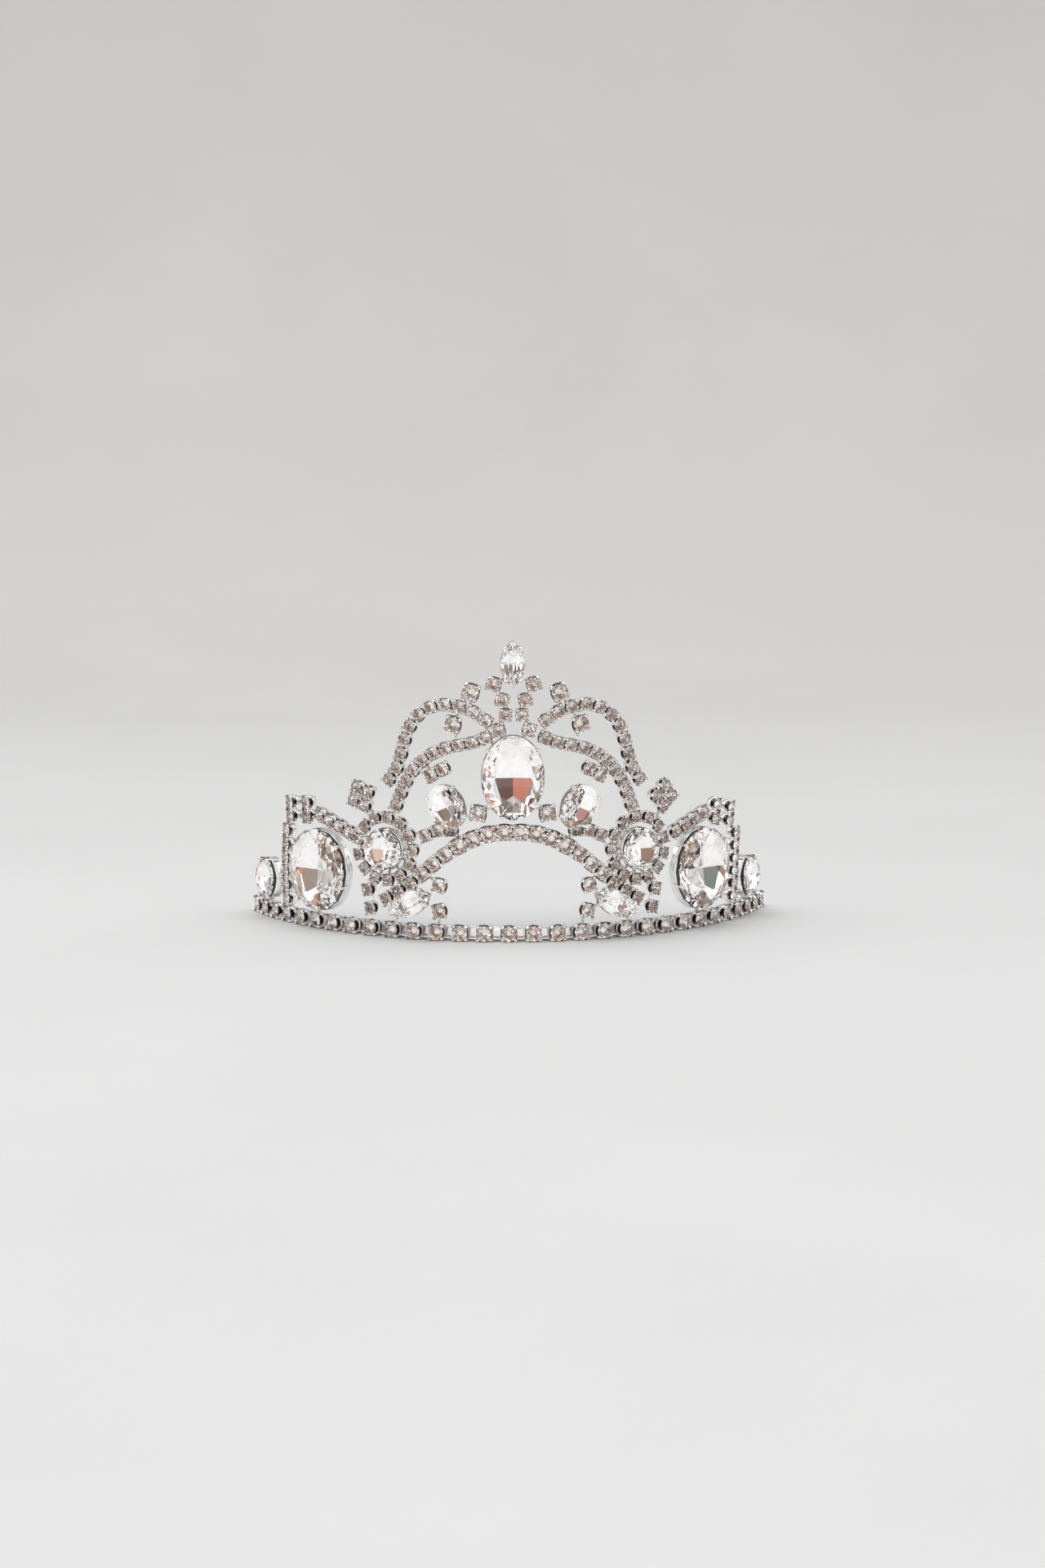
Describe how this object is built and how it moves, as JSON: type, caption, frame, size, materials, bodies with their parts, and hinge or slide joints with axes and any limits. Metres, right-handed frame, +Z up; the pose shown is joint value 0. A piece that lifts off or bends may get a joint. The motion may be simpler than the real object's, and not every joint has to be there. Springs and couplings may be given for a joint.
{
  "type": "bridal tiara",
  "caption": "Bridal tiara: claw-set oval, round and pointed crystals between arches of small stone cups, all rising from a curved base band with an open back.",
  "frame": {"origin": "on the bottom face of the base band, at the front centre and the middle of the band's thickness", "axes": "+X to the right as the front is looked at (the wearer's left), +Y back into the curve towards the wearer's head, +Z up"},
  "size_m": [0.1121, 0.0519, 0.0625],
  "materials": {
    "silver_plate": "bright polished silver-tone plate",
    "silver_with_stones": "bright plated cups, each filled with a small faceted stone",
    "polished_band": "polished silver-tone strip",
    "crystal": "clear faceted crystal with a mirror-foiled back"
  },
  "bodies": {
    "root": {"base_band": "polished_band", "base_chain": "silver_with_stones", "branch_row_left": "silver_with_stones", "branch_row_right": "silver_with_stones", "centre_crystal": "crystal", "centre_setting": "silver_plate", "drop_pair_left": "silver_with_stones", "drop_pair_right": "silver_with_stones", "end_left_crystal": "crystal", "end_left_setting": "silver_plate", "end_right_crystal": "crystal", "end_right_setting": "silver_plate", "flank_left_crystal": "crystal", "flank_left_setting": "silver_plate", "flank_right_crystal": "crystal", "flank_right_setting": "silver_plate", "fleuron_left": "silver_with_stones", "fleuron_right": "silver_with_stones", "inner_arch_left": "silver_with_stones", "inner_arch_right": "silver_with_stones", "inner_cluster_left": "silver_with_stones", "inner_cluster_right": "silver_with_stones", "lower_arch": "silver_with_stones", "lower_end_cup_left": "silver_with_stones", "lower_end_cup_right": "silver_with_stones", "lower_left_crystal": "crystal", "lower_left_setting": "silver_plate", "lower_petal_left": "silver_with_stones", "lower_petal_right": "silver_with_stones", "lower_right_crystal": "crystal", "lower_right_setting": "silver_plate", "medium_halo_left": "silver_with_stones", "medium_halo_right": "silver_with_stones", "medium_left_crystal": "crystal", "medium_left_setting": "silver_plate", "medium_right_crystal": "crystal", "medium_right_setting": "silver_plate", "outer_arch_left": "silver_with_stones", "outer_arch_right": "silver_with_stones", "pin_loop_left": "silver_plate", "pin_loop_right": "silver_plate", "short_leg_left": "silver_with_stones", "short_leg_right": "silver_with_stones", "side_column_left": "silver_with_stones", "side_column_right": "silver_with_stones", "side_left_crystal": "crystal", "side_left_setting": "silver_plate", "side_right_crystal": "crystal", "side_right_setting": "silver_plate", "side_strand_left": "silver_with_stones", "side_strand_right": "silver_with_stones", "spacer_cup_left": "silver_with_stones", "spacer_cup_right": "silver_with_stones", "top_crystal": "crystal", "top_setting": "silver_plate", "upper_end_cup_left": "silver_with_stones", "upper_end_cup_right": "silver_with_stones", "upper_petal_left": "silver_with_stones", "upper_petal_right": "silver_with_stones"}
  },
  "joints": []
}
